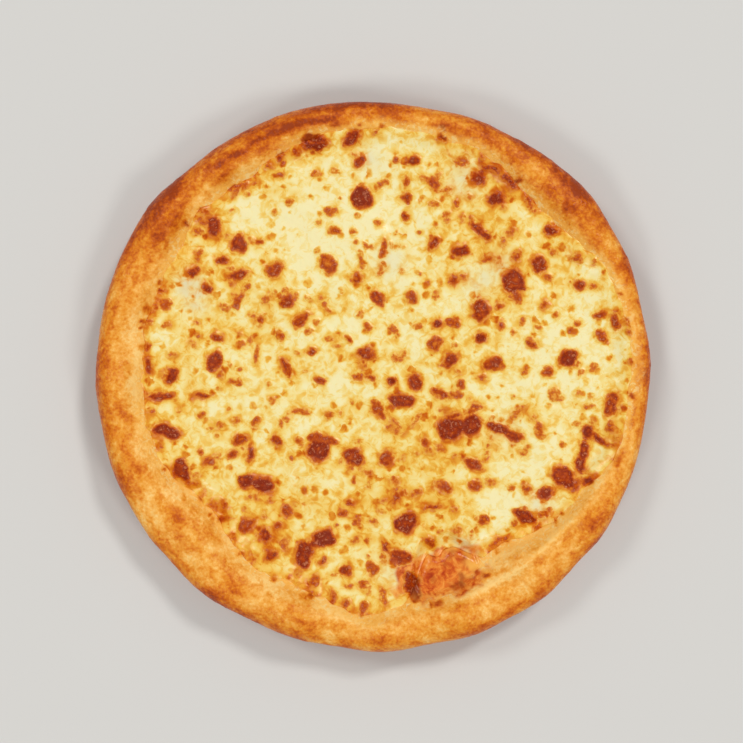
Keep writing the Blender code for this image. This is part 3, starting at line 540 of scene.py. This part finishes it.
def crust_colouring(x, y, z, relief, bearings):
    """Baking of the crust from 0, pale, to 1, red-brown, and the cheese that melted onto it.

    The rim darkens outwards over the shoulder and on its lumps, in broad patches where the oven
    was hotter, in mottling from 14 mm down to 3 mm, and in streaks drawn out along the rim. The
    side and the underside fried in oil, so they are an even deeper brown.
    """
    rim, topping, _, crest, _ = crust_outline(bearings)
    radius = np.hypot(x, y)
    outwards = smooth_step((radius - crest) / (rim - crest))
    inner = smooth_step((crest - radius) / np.maximum(crest - topping, 1.0))
    upper = smooth_step((z - 10.0) / 8.0)
    stretch, cells = 3.0, 52
    round_the_rim = np.broadcast_to(np.radians(bearings) * RIM_RADIUS, x.shape)
    spacing = math.tau * RIM_RADIUS / stretch / cells
    mottling = 0.12 * layered_cloud(x, y, 14.0, seed=61)
    mottling += 0.1 * cloud(x + z, y - z, 3.0, seed=64)
    mottling += 0.2 * layered_cloud(
        round_the_rim / stretch, radius, spacing, seed=62, cells_round=cells)
    patch = patches(x, y, CRUST_DARK_PATCHES) - patches(x, y, CRUST_PALE_PATCHES_AND_PAINTED_LIGHT)
    patch = patch + streaks(x, y, bearings)
    # Paler inner slope: partly paler bread, partly painted light that lifts the slope's shade
    top = TOP_BAKE + SHOULDER_BAKE * outwards**2 + INNER_BAKE_AND_PAINTED_LIGHT * inner
    top = top + patch + mottling + 0.06 * relief
    side_x = np.broadcast_to(2.2 * bearings, x.shape)
    side = SIDE_BAKE + 0.12 * layered_cloud(side_x, 1.5 * z, 12.0, seed=65)
    under = UNDER_BAKE + 0.3 * layered_cloud(x, y, 13.0, seed=66)
    low = np.where(z < 1.0, under, side)
    bake = top * upper + low * (1.0 - upper)
    # Painted highlight along the fold's ridge, which is paler, and painted shade in its furrow,
    # which is darker
    ridge, furrow = fold_shares(radius, bearings)
    bake += np.where(z > WIDEST_HEIGHT, 0.16 * furrow - 0.3 * ridge, 0.0)
    reach = MELT_REACH + bulges(bearings, MELT_BULGES)
    reach = reach + 4.0 * cloud(x, y, 9.0, seed=67) + 2.0 * cloud(x, y, 4.0, seed=68)
    melt = (1.0 - smooth_step((radius - topping) / np.maximum(reach, 0.5))) * (z > BED_HEIGHT)
    scorched = scorching(x, y) * (z > BED_HEIGHT)
    scorched *= 1.0 - smooth_step((radius - topping - 4.0) / 4.0)
    return np.clip(bake + scorched, 0.0, 1.0), melt * (1.0 - np.minimum(3.0 * scorched, 1.0))


def blister_list():
    """The blisters seen from above, and seeded specks scattered between them and at the edge."""
    draw = random.Random(SPECK_SEED)
    blisters = list(BLISTERS)
    for number in range(SPECKS + EDGE_SPECKS):
        radius, turn = SPECK_RADIUS * math.sqrt(draw.random()), draw.uniform(0.0, math.tau)
        sizes, brownings = SPECK_SIZE, SPECK_BROWNING
        if number >= SPECKS:
            topping = crust_outline(np.array([math.degrees(turn)]))[1][0]
            radius = topping + draw.uniform(*EDGE_SPECK_BAND)
            sizes, brownings = EDGE_SPECK_SIZE, EDGE_SPECK_BROWNING
        size = draw.uniform(*sizes)
        place = (radius * math.cos(turn), radius * math.sin(turn))
        shape = (size, 0.75 * size, draw.uniform(0.0, 180.0), draw.uniform(*brownings))
        blisters.append(place + shape)
    return blisters


def blister_fields(x, y):
    """What the blisters give each point: way out of the nearest, its browning, dome and oil.

    Each blister is an ellipse, pulled out of shape by noise. The way out is about the distance
    in mm from its outline, negative inside. The skin stands up in a crumpled dome with a shallow
    hollow at its middle, in a shallow moat, and oil spreads a few millimetres round it.
    """
    x, y = x + 1.3 * cloud(x, y, 6.0, seed=74), y + 1.3 * cloud(x, y, 6.0, seed=75)
    wobble = 0.45 * cloud(x, y, 3.4, seed=71)
    crumple = 1.0 + 0.5 * cloud(x, y, 2.0, seed=73)
    way_out = np.full_like(x, BLISTER_REACH)
    strengths, dome, oil = (np.zeros_like(x) for _ in range(3))
    draw = random.Random(SPECK_SEED)
    for centre_x, centre_y, length, width, turn, strength in blister_list():
        half_length, half_width = 0.5 * length, 0.5 * width
        near = np.hypot(x - centre_x, y - centre_y) < half_length + BLISTER_REACH
        along, across = along_and_across(x[near], y[near], centre_x, centre_y, turn)
        along, across = along / half_length, across / half_width
        ring = np.hypot(along, across)
        slope = np.hypot(along / half_length, across / half_width)
        beyond = ring * (ring - 1.0) / np.maximum(slope, 1e-9) + wobble[near]
        closer = beyond < way_out[near]
        way_out[near] = np.where(closer, beyond, way_out[near])
        strengths[near] = np.where(closer, strength, strengths[near])
        hollow = draw.uniform(0.05, 0.3) * np.exp(-((ring / 0.55) ** 2))
        height = min(DOME_SHARE * width, DOME_MOST) * (0.5 + 0.5 * strength)
        swell = (1.0 - smooth_step(ring / 1.25)) * crumple[near] - 1.6 * hollow
        moat = MOAT_SHARE * np.exp(-(((beyond - 1.2) / 0.9) ** 2))
        dome[near] = np.maximum(dome[near], height * swell) - height * moat
        oil[near] += 0.35 * strength * np.exp(-((np.maximum(beyond, 0.0) / OIL_FADE) ** 2))
    return way_out, strengths, dome, np.minimum(oil, 1.0)


def sauciness(x, y):
    """1 where the sauce shows or shines through, 0 elsewhere: an ellipse with a torn outline."""
    centre_x, centre_y, half_length, half_width, turn = SAUCY_PLACE
    along, across = along_and_across(x, y, centre_x, centre_y, turn)
    ring = np.hypot(along / half_length, across / half_width)
    torn = 0.45 * cloud(x, y, 9.0, seed=97) + 0.3 * cloud(x, y, 4.0, seed=98)
    return 1.0 - smooth_step((ring + torn - 0.72) / 0.42)


def disc_grid(cells):
    """Shares across a disc for a square grid wrapped onto it, with nearly even cells.

    The square ring at one distance from the centre becomes the circle of that radius, and the
    bearing turns evenly along each of the ring's four sides.
    """
    across, up = np.meshgrid(np.linspace(-1.0, 1.0, cells + 1), np.linspace(-1.0, 1.0, cells + 1))
    sideways = np.abs(across) >= np.abs(up)
    lead = np.where(sideways, across, up)
    safe = np.where(lead == 0.0, 1.0, lead)
    angle = np.where(
        sideways, 0.25 * math.pi * up / safe, 0.5 * math.pi - 0.25 * math.pi * across / safe
    )
    return lead * np.cos(angle), lead * np.sin(angle)


def cheese_shape():
    """Points of the melted sheet's top, and what its finish needs to know at each of them.

    The top is a level sheet with slow waves, soft folds about 9 mm apart and small dimples, led
    up or down into the height of its thin edge on the bread's slope.
    """
    share_x, share_y = disc_grid(CHEESE_CELLS)
    bearings = np.degrees(np.arctan2(share_y, share_x))
    end = cheese_end(bearings)
    x, y = share_x * end, share_y * end
    inward = end - np.hypot(x, y)
    under_edge = np.maximum(slope_height(*to_xy(end, bearings)), SAUCE_TOP) + FILM
    lip = cheese_lip(bearings)
    sheet = CHEESE_LEVEL + CHEESE_WAVE * ripple(x, y, CHEESE_WAVE_SPACING, seed=5)
    sheet += 0.32 * layered_cloud(x, y, 9.0, seed=81)
    top = under_edge + lip + (sheet - under_edge - lip) * smooth_step(inward / EDGE_REACH)
    way_out, strengths, dome, oil = blister_fields(x, y)
    top = np.maximum(top, slope_height(x, y) + FILM + lip)
    top += dome * smooth_step((inward + 1.0) / 3.0)
    return x, y, top, inward, bearings, way_out, strengths, oil


def cheese_colouring(x, y, inward, bearings, oil):
    """Tone of the unbrowned cheese from 0, whitish, to 1, orange oil; and its thinness.

    Oil gathers in broad patches, round the blisters and along the edge.
    """
    tone = 0.3 + patches(x, y, OILY_PATCHES) - patches(x, y, CREAMY_PATCHES)
    tone += 0.25 * layered_cloud(x, y, 13.0, seed=91) + 0.2 * cloud(x, y, 3.4, seed=94)
    tone += 0.35 * oil
    fringe = (1.0 - smooth_step(inward / 7.0)) * (1.0 - 0.5 * bay_share(bearings))
    tone += 0.36 * fringe * (1.0 + 0.7 * cloud(x, y, 4.0, seed=95))
    thin = patches(x, y, THIN_PATCHES) * (0.8 + 0.6 * cloud(x, y, 4.0, seed=96))
    return np.clip(tone, 0.0, 1.0), np.clip(thin, 0.0, 1.0)


def ring_triangles(rings, stations):
    """Triangles between neighbouring closed rings, facing left of the way that the rings go."""
    ring, station = np.meshgrid(np.arange(rings - 1), np.arange(stations), indexing="ij")
    here = ring * stations + station
    beside = ring * stations + (station + 1) % stations
    quads = np.stack((here, here + stations, beside + stations, beside), axis=-1).reshape(-1, 4)
    return np.concatenate((quads[:, [0, 1, 2]], quads[:, [0, 2, 3]]))


def fan(centre, first, stations, upward):
    """Triangles from a centre point to the ring round it."""
    station = first + np.arange(stations)
    following = first + (np.arange(stations) + 1) % stations
    hub = np.full(stations, centre)
    return np.column_stack((hub, station, following) if upward else (hub, following, station))


def close_rings(x, y, z):
    """A closed body from rows of rings: a fan at the first ring, and one at the last."""
    rings, stations = x.shape
    points = np.column_stack((x.ravel(), y.ravel(), z.ravel()))
    centres = [(0.0, 0.0, z[0].mean()), (0.0, 0.0, z[-1].mean())]
    count = len(points)
    triangles = np.concatenate((
        ring_triangles(rings, stations),
        fan(count, 0, stations, upward=True),
        fan(count + 1, count - stations, stations, upward=False),
    ))
    return np.concatenate((points, centres)), triangles


def with_centres(field):
    """A field on rows of rings, with the mean of the first and of the last ring for the centres."""
    return np.concatenate((field.ravel(), [field[0].mean(), field[-1].mean()]))


def grid_rim(side):
    """Indexes round the edge of a square grid of points, anticlockwise from its first corner."""
    index = np.arange(side * side).reshape(side, side)
    return np.concatenate((index[0, :-1], index[:-1, -1], index[-1, :0:-1], index[:0:-1, 0]))


def grid_triangles(side):
    """Two triangles for each cell of a square grid of points, facing up.

    Each cell is cut along the diagonal that points more to the grid's centre, because on a disc
    the other one would leave slivers.
    """
    index = np.arange(side * side).reshape(side, side)
    low_left, low_right = index[:-1, :-1], index[:-1, 1:]
    up_left, up_right = index[1:, :-1], index[1:, 1:]
    half = np.arange(side - 1) >= (side - 1) // 2
    rising = half[:, None] == half[None, :]
    start = np.where(rising, low_left, low_right)
    corners = [np.where(rising, *pair) for pair in (
        (low_right, up_right), (up_right, up_left), (up_left, low_left))]
    return np.concatenate([
        np.column_stack((start.ravel(), corners[i].ravel(), corners[i + 1].ravel())) for i in (0, 1)
    ])


def make_piece(name, points, triangles, material, fields):
    """A smooth mesh piece from arrays, with one named point attribute for each field."""
    mesh = bpy.data.meshes.new(name)
    mesh.vertices.add(len(points))
    mesh.vertices.foreach_set("co", (points * MM).ravel())
    mesh.loops.add(triangles.size)
    mesh.loops.foreach_set("vertex_index", triangles.ravel().astype(np.int32))
    mesh.polygons.add(len(triangles))
    mesh.polygons.foreach_set("loop_start", np.arange(0, triangles.size, 3, dtype=np.int32))
    mesh.update(calc_edges=True)
    mesh.shade_smooth()
    for field, values in fields.items():
        attribute = mesh.attributes.new(field, "FLOAT", "POINT")
        attribute.data.foreach_set("value", values.astype(np.float32))
    mesh.materials.append(material)
    piece = bpy.data.objects.new(name, mesh)
    bpy.context.scene.collection.objects.link(piece)
    return piece


def linear(hex_colour):
    """An sRGB hex colour as linear red, green, blue and full alpha."""
    srgb = [int(hex_colour[i:i + 2], 16) / 255.0 for i in (0, 2, 4)]
    return [c / 12.92 if c <= 0.04045 else ((c + 0.055) / 1.055) ** 2.4 for c in srgb] + [1.0]


def set_inputs(tree, node, inputs):
    """Links or sets a node's inputs, by socket name or number."""
    for socket, value in inputs.items():
        if isinstance(value, bpy.types.NodeSocket):
            tree.links.new(value, node.inputs[socket])
        else:
            node.inputs[socket].default_value = value


def add_node(tree, kind, inputs=(), output=0, stops=(), **settings):
    """Adds a node with its settings, its inputs and a ramp's colour stops, and gives one output.

    Inputs are fixed values or other nodes' outputs, either in the order of the sockets or keyed
    by socket name or number.
    """
    node = tree.nodes.new("ShaderNode" + kind)
    for name, value in settings.items():
        setattr(node, name, value)
    set_inputs(tree, node, inputs if isinstance(inputs, dict) else dict(enumerate(inputs)))
    for index, (position, colour) in enumerate(stops):
        elements = node.color_ramp.elements
        element = elements[index] if index < 2 else elements.new(position)
        element.position = position
        element.color = linear(colour)
    return node.outputs[output]


def start_material(name):
    """A new material, its node tree, its shader, and its Object coordinates."""
    material = bpy.data.materials.new(name)
    material.use_nodes = True
    tree = material.node_tree
    place = add_node(tree, "TexCoord", output="Object")
    return material, tree, tree.nodes["Principled BSDF"], place


def per_metre(millimetres):
    """Scale of a pattern whose features are this far apart."""
    return 1.0 / (millimetres * MM)


def add_pulp(tree, place):
    """Colour of the oily sauce, orange with deep red pulp about 5 mm apart, and its lumpiness."""
    # Noises: spacing in mm, layers of detail, distortion
    lumps, flecks = (
        add_node(tree, "TexNoise", {
            "Vector": place, "Scale": per_metre(spacing), "Detail": detail,
            "Roughness": NOISE_GRIT, "Distortion": distortion}, "Fac")
        for spacing, detail, distortion in ((5.0, 4.0, 0.8), (1.4, 2.0, 0.0)))
    uneven = add_node(tree, "Math", (flecks, 0.2, lumps), operation="MULTIPLY_ADD")
    colour = add_node(tree, "ValToRGB", (uneven,), stops=(
        (0.36, "F4B65A"), (0.5, "EE9A40"), (0.6, "E27E2A"), (0.68, "D0601A"), (0.78, "B83E0C"),
        (1.0, "861B08")))
    return colour, uneven


def melted_cheese():
    """Low-moisture mozzarella, melted and browned.

    Oily and slightly translucent: cream to yellow where it only melted, golden orange where oil
    gathered, red-brown where blisters scorched, with a wet sheen all over.
    """
    material, tree, shader, place = start_material("melted_cheese")
    way_out, strength, tone, thin, saucy = (
        add_node(tree, "Attribute", output="Fac", attribute_name=name)
        for name in ("way_out", "strength", "tone", "thin", "saucy"))
    # Noises: spacing in mm, layers of detail, distortion
    crumb, blotch, pools, blob = (
        add_node(tree, "TexNoise", {
            "Vector": place, "Scale": per_metre(spacing), "Detail": detail,
            "Roughness": NOISE_GRIT, "Distortion": distortion}, "Fac")
        for spacing, detail, distortion in (
            (1.2, 3.0, 0.0), (2.0, 2.0, 0.4), (3.6, 3.0, 0.8), (4.2, 2.0, 0.3)))

    # Blisters: a blotchy skin out to a torn edge, and a darker core in the strong ones
    torn = add_node(tree, "Math", (crumb, 0.9, way_out), operation="MULTIPLY_ADD")
    torn = add_node(tree, "Math", (blob, 1.2, torn), operation="MULTIPLY_ADD")
    cover = add_node(tree, "MapRange", (torn, 0.8, 2.3, 1.0, 0.0), **SOFT_ENDS)
    core = add_node(tree, "MapRange", (torn, -0.6, 1.2, 1.0, 0.0), **SOFT_ENDS)
    middle = add_node(tree, "MapRange", (way_out, -3.6, -1.2, 0.63, 0.5), **SOFT_ENDS)
    grilled = add_node(tree, "Math", (strength, 0.36), operation="MULTIPLY")
    grilled = add_node(tree, "Math", (blotch, 1.0, grilled), operation="MULTIPLY_ADD")
    grilled = add_node(tree, "Math", (crumb, 0.5, grilled), operation="MULTIPLY_ADD")
    grilled = add_node(tree, "Math", (grilled, middle), operation="SUBTRACT")
    brown = add_node(tree, "Math", (strength, 0.62, -0.12), operation="MULTIPLY_ADD")
    brown = add_node(tree, "Math", (core, brown), operation="MULTIPLY")
    brown = add_node(tree, "Math", (cover, grilled, brown), operation="MULTIPLY_ADD")

    # Between them: the broad tone, golden spots 5.5 mm apart, a halo of oil and small pools
    warp = add_node(tree, "VectorMath", (
        blob.node.outputs["Color"], (4 * MM, 4 * MM, 4 * MM), place), operation="MULTIPLY_ADD")
    distance = add_node(
        tree, "TexVoronoi", {"Vector": warp, "Scale": per_metre(5.5)}, "Distance")
    chance = distance.node.outputs["Color"]
    radius = add_node(tree, "Math", (chance, 0.55, -0.12), operation="MULTIPLY_ADD")
    inside = add_node(tree, "Math", (radius, distance), operation="SUBTRACT")
    golden = add_node(tree, "MapRange", (inside, -0.12, 0.12, 0.0, 0.28), **SOFT_ENDS)
    halo = add_node(tree, "MapRange", (torn, 1.6, 3.4, 0.2, 0.0), **SOFT_ENDS)
    pooled = add_node(tree, "MapRange", (pools, 0.4, 0.66, -0.05, 0.12), **SOFT_ENDS)
    melted = add_node(tree, "Math", (tone, 0.42, golden), operation="MULTIPLY_ADD")
    melted = add_node(tree, "Math", (halo, strength, melted), operation="MULTIPLY_ADD")
    melted = add_node(tree, "Math", (melted, pooled), operation="ADD")

    # Colour: the heat it took, painted highlights on the blisters, bared whey, and sauce that
    # seeped in
    heat = add_node(tree, "Math", (melted, brown, 0.1), operation="SMOOTH_MAX")
    colour = add_node(tree, "ValToRGB", (heat,), stops=(
        (0.02, "F4E8B0"), (0.12, "F3DD90"), (0.22, "F1CB66"), (0.32, "EBB23C"), (0.42, "E19420"),
        (0.54, "D4740E"), (0.67, "C25604"), (0.82, "AC3C02"), (1.0, "862402")))
    # Painted highlight: pale pinkish glints painted onto the scorched blisters where two noises
    # rise
    on_blotch = add_node(tree, "MapRange", (blotch, 0.52, 0.64), **SOFT_ENDS)
    on_crumb = add_node(tree, "MapRange", (crumb, 0.44, 0.58), **SOFT_ENDS)
    scorched = add_node(tree, "MapRange", (heat, 0.55, 0.75, 0.0, 0.75), **SOFT_ENDS)
    painted_glints = add_node(tree, "Math", (on_blotch, on_crumb), operation="MULTIPLY")
    painted_glints = add_node(tree, "Math", (painted_glints, scorched), operation="MULTIPLY")
    unbrowned = add_node(tree, "MapRange", (heat, 0.2, 0.5, 1.0, 0.0), **SOFT_ENDS)
    bared = add_node(tree, "Math", (thin, unbrowned), operation="MULTIPLY")
    closed = add_node(tree, "MapRange", (cover, 0.2, 0.9), **SOFT_ENDS)
    seeped = add_node(tree, "Math", (saucy, closed), operation="SUBTRACT")
    pulp, _ = add_pulp(tree, place)
    for share, layer in (
            (painted_glints, linear("CC7C50")), (bared, linear("E0DAB8")), (seeped, pulp)):
        colour = add_node(tree, "Mix", {0: share, 6: colour, 7: layer}, 2, data_type="RGBA")

    depth = add_node(tree, "Math", (cover, 2.0, 0.6), operation="MULTIPLY_ADD")
    height = add_node(tree, "Math", (crumb, depth), operation="MULTIPLY")
    bump = add_node(tree, "Bump", {"Height": height, "Strength": 0.6, "Distance": 0.35 * MM})
    roughness = add_node(tree, "MapRange", (heat, 0.4, 0.8, 0.26, 0.1), **SOFT_ENDS)
    gloss = add_node(tree, "MapRange", (heat, 0.35, 0.65, 0.42, 0.16), **SOFT_ENDS)
    set_inputs(tree, shader, {
        "Base Color": colour, "Roughness": roughness, "Specular IOR Level": gloss, "Normal": bump,
        "Subsurface Weight": 0.08, "Subsurface Radius": (1.2 * MM, 0.8 * MM, 0.4 * MM),
        "Subsurface Scale": 1.0})
    return material


def baked_crust():
    """Wheat bread, baked deep and brushed with oil.

    A finely pitted skin that runs from straw yellow through golden orange to red-brown, with a
    thin uneven film of oil that catches the light in specks.
    """
    material, tree, shader, place = start_material("baked_crust")
    bake, melt, saucy, charred = (
        add_node(tree, "Attribute", output="Fac", attribute_name=name)
        for name in ("bake", "melt", "saucy", "charred"))
    # Noises: spacing in mm, layers of detail, distortion
    grain, mottle, shreds = (
        add_node(tree, "TexNoise", {
            "Vector": place, "Scale": per_metre(spacing), "Detail": detail,
            "Roughness": NOISE_GRIT, "Distortion": distortion}, "Fac")
        for spacing, detail, distortion in ((1.3, 4.0, 0.0), (5.0, 3.0, 0.6), (3.2, 3.0, 1.5)))
    pits = add_node(
        tree, "TexVoronoi", {"Vector": place, "Scale": per_metre(1.6)}, "Distance",
        feature="SMOOTH_F1")

    uneven = add_node(tree, "Math", (grain, 0.8, bake), operation="MULTIPLY_ADD")
    uneven = add_node(tree, "Math", (mottle, 0.76, uneven), operation="MULTIPLY_ADD")
    uneven = add_node(tree, "Math", (uneven, 0.78), operation="SUBTRACT")
    colour = add_node(tree, "ValToRGB", (uneven,), stops=(
        (0.0, "FCCE7C"), (0.2, "F6B454"), (0.4, "EA982E"), (0.56, "DE7E1A"), (0.72, "CA6209"),
        (0.86, "B84E06"), (1.0, "9A3A06")))

    # Cheese that melted onto the rim, in a yellow film with creamy shreds, and sauce stains
    film = add_node(tree, "Math", (melt, 0.65), operation="MULTIPLY")
    creamy = add_node(tree, "MapRange", (shreds, 0.52, 0.62, 0.0, 0.7), **SOFT_ENDS)
    creamy = add_node(tree, "Math", (creamy, melt), operation="MULTIPLY")
    pulp, _ = add_pulp(tree, place)
    for share, layer in (
            (film, linear("FABC56")), (creamy, linear("F6DA94")), (saucy, pulp),
            (charred, linear(CHAR_COLOUR))):
        colour = add_node(tree, "Mix", {0: share, 6: colour, 7: layer}, 2, data_type="RGBA")

    height = add_node(tree, "Math", (pits, 0.8, grain), operation="MULTIPLY_ADD")
    bump = add_node(tree, "Bump", {"Height": height, "Strength": 0.8, "Distance": 0.4 * MM})
    roughness = add_node(tree, "MapRange", (mottle, 0.35, 0.65, 0.18, 0.42), **SOFT_ENDS)
    set_inputs(tree, shader, {
        "Base Color": colour, "Roughness": roughness, "Specular IOR Level": 0.16, "Normal": bump})
    return material


def tomato_sauce():
    """Cooked tomato sauce under a film of oil, lumpy and glossy."""
    material, tree, shader, place = start_material("tomato_sauce")
    saucy, charred = (
        add_node(tree, "Attribute", output="Fac", attribute_name=name)
        for name in ("saucy", "charred"))
    pulp, uneven = add_pulp(tree, place)
    colour = linear("F0AE4C")
    for share, layer in ((saucy, pulp), (charred, linear(CHAR_COLOUR))):
        colour = add_node(tree, "Mix", {0: share, 6: colour, 7: layer}, 2, data_type="RGBA")
    bump = add_node(tree, "Bump", {"Height": uneven, "Strength": 0.6, "Distance": 0.6 * MM})
    set_inputs(tree, shader, {
        "Base Color": colour, "Roughness": 0.2, "Specular IOR Level": 0.3, "Normal": bump})
    return material


def make_crust():
    """The bread, in place of its solid."""
    x, y, z, relief, bearings = crust_shape()
    bake, melt = crust_colouring(x, y, z, relief, bearings)
    points, triangles = close_rings(x, y, z)
    saucy = sauciness(x, y) * (z > BED_HEIGHT)
    charred = saucy * scorching(x, y)
    fields = {"bake": bake, "melt": melt, "saucy": saucy, "charred": charred}
    fields = {name: with_centres(field) for name, field in fields.items()}
    return make_piece("bread_crust", points, triangles, baked_crust(), fields)


def make_sauce():
    """The sauce sheet, which swells up with pulpy lumps where the cheese leaves a bay.

    Its edge runs on into the bread's slope, so that the shore of the bay is where the lumpy sauce
    meets the slope.
    """
    bearings = np.arange(SAUCE_STATIONS) * 360.0 / SAUCE_STATIONS
    _, _, slope_start, crest, _ = crust_outline(bearings)
    climb = SAUCE_CLIMB * smooth_step(2.0 * bay_share(bearings))
    end = slope_start + SAUCE_PAST_BED + climb * (crest - slope_start)
    radii = np.linspace(INNERMOST, 1.0, SAUCE_RINGS)[:, None] * end
    x, y = to_xy(radii, bearings)
    bared = smooth_step((radii - cheese_end(bearings) + 0.5) / SWELL_REACH)
    pulp = 0.5 * layered_cloud(x, y, 7.0, seed=101, layers=2)
    top = SAUCE_TOP + bared * (SAUCE_SWELL + pulp)
    under = np.array([end - 1.0, 0.5 * end])
    x, y = to_xy(np.concatenate((radii, under)), bearings)
    z = np.concatenate((top, np.full_like(under, BED_HEIGHT + FILM)))
    points, triangles = close_rings(x, y, z)
    fields = {"saucy": with_centres(sauciness(x, y)), "charred": with_centres(scorching(x, y))}
    return make_piece("tomato_sauce", points, triangles, tomato_sauce(), fields)


def make_cheese():
    """The melted sheet with its blisters, a rounded edge and a plain underside."""
    x, y, z, inward, grid_bearings, way_out, strengths, oil = cheese_shape()
    tone, thin = cheese_colouring(x, y, inward, grid_bearings, oil)
    side = x.shape[0]
    top = np.column_stack((x.ravel(), y.ravel(), z.ravel()))
    rim = grid_rim(side)
    stations = len(rim)
    edge = top[rim]
    radii = np.hypot(edge[:, 0], edge[:, 1])
    bearings = np.degrees(np.arctan2(edge[:, 1], edge[:, 0]))
    lip = cheese_lip(bearings)
    rows = [edge]
    # Each row: how far past the edge in lips, share of the edge's radius, share of its height
    rounding = [(0.5 * math.sin(turn), 1.0, math.cos(turn)) for turn in np.radians((30, 60, 90))]
    underside = [(0.0, share, 0.0) for share in (0.97, 0.9, 0.5, 0.05)]
    for out, share, up in rounding + underside:
        ring_x, ring_y = to_xy(share * radii + out * lip, bearings)
        floor = np.maximum(slope_height(ring_x, ring_y), SAUCE_TOP) + 0.5 * FILM
        rows.append(np.column_stack((ring_x, ring_y, floor + up * (edge[:, 2] - floor))))
    below = np.concatenate(rows[1:])
    first = len(top)
    joined = np.concatenate((rim, first + np.arange(len(below))))
    skirt = joined[ring_triangles(len(rows), stations)]
    centre = first + len(below)
    hub = fan(centre, centre - stations, stations, upward=False)
    points = np.concatenate((top, below, [(0.0, 0.0, SAUCE_TOP + 0.5 * FILM)]))
    triangles = np.concatenate((grid_triangles(side), skirt, hub))
    fields = {"way_out": way_out, "strength": strengths, "tone": tone, "thin": thin,
              "saucy": sauciness(x, y)}
    for name, field in fields.items():
        flat = field.ravel()
        fields[name] = np.concatenate((flat, np.tile(flat[rim], len(rows) - 1), [0.0]))
    return make_piece("melted_cheese", points, triangles, melted_cheese(), fields)


def add_floor():
    """A plain pale floor under the pizza."""
    material, tree, shader, _ = start_material("pale_floor")
    set_inputs(tree, shader, {"Base Color": linear("D2D1CE"), "Roughness": 0.8})
    bpy.ops.mesh.primitive_plane_add(size=FLOOR_SIZE * MM, location=(0.0, 0.0, -FLOOR_GAP * MM))
    floor = bpy.context.object
    floor.name = "floor"
    floor.data.materials.append(material)


def add_light(name, place, breadth, strength):
    """A far soft light that faces the pizza and looks this many degrees broad from there."""
    light = bpy.data.lights.new(name, "SUN")
    light.angle = math.radians(breadth)
    light.energy = strength
    light.color = LIGHT_COLOUR
    holder = bpy.data.objects.new(name, light)
    holder.location = place
    holder.rotation_euler = (-Vector(place)).to_track_quat("-Z", "Y").to_euler()
    bpy.context.scene.collection.objects.link(holder)


def add_studio():
    """Four soft lights round the pizza, the strongest at the upper right, and dim surroundings."""
    for bearing, strength, breadth in LIGHTS:
        add_light(f"softbox_{bearing}", (*to_xy(1.0, bearing), LIGHT_RISE), breadth, strength)
    world = bpy.data.worlds.new("surroundings")
    world.use_nodes = True
    background = world.node_tree.nodes["Background"]
    set_inputs(world.node_tree, background, {"Color": linear("FFFFFF"), "Strength": SURROUNDINGS})
    bpy.context.scene.world = world
    bpy.context.scene.view_settings.view_transform = "Standard"


def add_camera():
    """Straight above the pizza, as far away as makes the picture its width at the rim."""
    data = bpy.data.cameras.new("camera")
    data.lens = 85.0
    data.sensor_width = 36.0
    distance = PICTURE_WIDTH * data.lens / data.sensor_width
    camera = bpy.data.objects.new("camera", data)
    camera.location = [place * MM for place in (*PICTURE_MIDDLE, RIM_HEIGHT + distance)]
    bpy.context.scene.collection.objects.link(camera)
    bpy.context.scene.camera = camera


for make, node in ((make_crust, "crust"), (make_sauce, "sauce"), (make_cheese, "cheese")):
    piece = make()
    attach(piece, "root")
    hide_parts(node)
add_floor()
add_studio()
add_camera()
